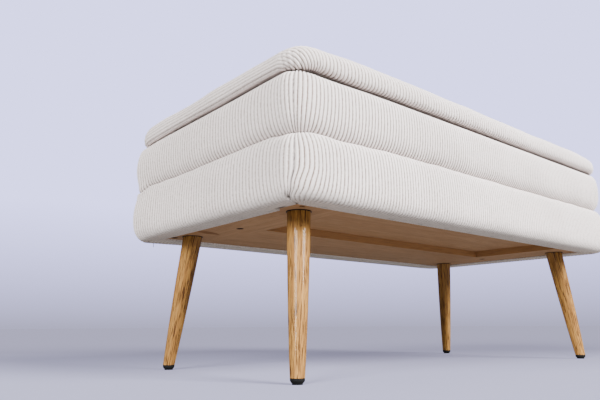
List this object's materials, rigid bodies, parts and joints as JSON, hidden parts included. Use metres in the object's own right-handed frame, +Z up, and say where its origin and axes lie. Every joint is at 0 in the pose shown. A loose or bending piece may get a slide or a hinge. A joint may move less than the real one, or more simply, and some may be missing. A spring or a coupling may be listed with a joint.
{
  "type": "ottoman with storage",
  "caption": "Padded storage bench: ribbed fabric box with a hinged cushion lid, on splayed tapered wooden legs with glides.",
  "frame": {"origin": "on the floor, below the middle of the seat", "axes": "+X along the long side, +Y to the back with the hinges, +Z up; the long padded face without hinges is at -Y"},
  "size_m": [0.8, 0.423, 0.4],
  "materials": {
    "corduroy": "ribbed, matt",
    "foam": "matt",
    "lining": "matt non-woven",
    "plywood": "raw",
    "oak_board": "satin oak print",
    "oak_leg": "satin lacquer",
    "black_plastic": "satin",
    "black_steel": "matt",
    "zinc_steel": "zinc plated",
    "bumper_rubber": "matt"
  },
  "bodies": {
    "box": {"back_cover": "corduroy", "back_foam": "foam", "back_lining": "lining", "back_panel": "plywood", "board_screws": "black_steel", "box_hinge_screws": "zinc_steel", "bumpers": "bumper_rubber", "floor_lining": "lining", "floor_panel": "oak_board", "front_bottom_rail": "oak_board", "front_cover": "corduroy", "front_foam": "foam", "front_lining": "lining", "front_panel": "plywood", "glide_back_left": "black_plastic", "glide_back_right": "black_plastic", "glide_front_left": "black_plastic", "glide_front_right": "black_plastic", "glide_nails": "zinc_steel", "hem_staples": "zinc_steel", "hinge_box_leaf_left": "zinc_steel", "hinge_box_leaf_right": "zinc_steel", "hinge_pin_left": "zinc_steel", "hinge_pin_right": "zinc_steel", "left_bottom_board": "oak_board", "left_cover": "corduroy", "left_foam": "foam", "left_lining": "lining", "left_panel": "plywood", "leg_back_left": "oak_leg", "leg_back_right": "oak_leg", "leg_bolt_back_left": "zinc_steel", "leg_bolt_back_right": "zinc_steel", "leg_bolt_front_left": "zinc_steel", "leg_bolt_front_right": "zinc_steel", "leg_front_left": "oak_leg", "leg_front_right": "oak_leg", "leg_washer_back_left": "black_plastic", "leg_washer_back_right": "black_plastic", "leg_washer_front_left": "black_plastic", "leg_washer_front_right": "black_plastic", "rear_bottom_board": "oak_board", "right_bottom_board": "oak_board", "right_cover": "corduroy", "right_foam": "foam", "right_lining": "lining", "right_panel": "plywood", "t_nut_back_left": "zinc_steel", "t_nut_back_right": "zinc_steel", "t_nut_front_left": "zinc_steel", "t_nut_front_right": "zinc_steel"},
    "lid": {"lid_board": "plywood", "lid_foam": "foam", "lid_cover": "corduroy", "lid_lining": "lining", "lid_hinge_screws": "zinc_steel", "hinge_lid_leaf_left": "zinc_steel", "hinge_lid_leaf_right": "zinc_steel"}
  },
  "joints": [
    {"name": "lid_hinge", "type": "hinge", "parent": "box", "child": "lid", "pos_m": [0, 0.2095, 0.35375], "axis": [-1, 0, 0], "range_deg": [0, 95]}
  ]
}
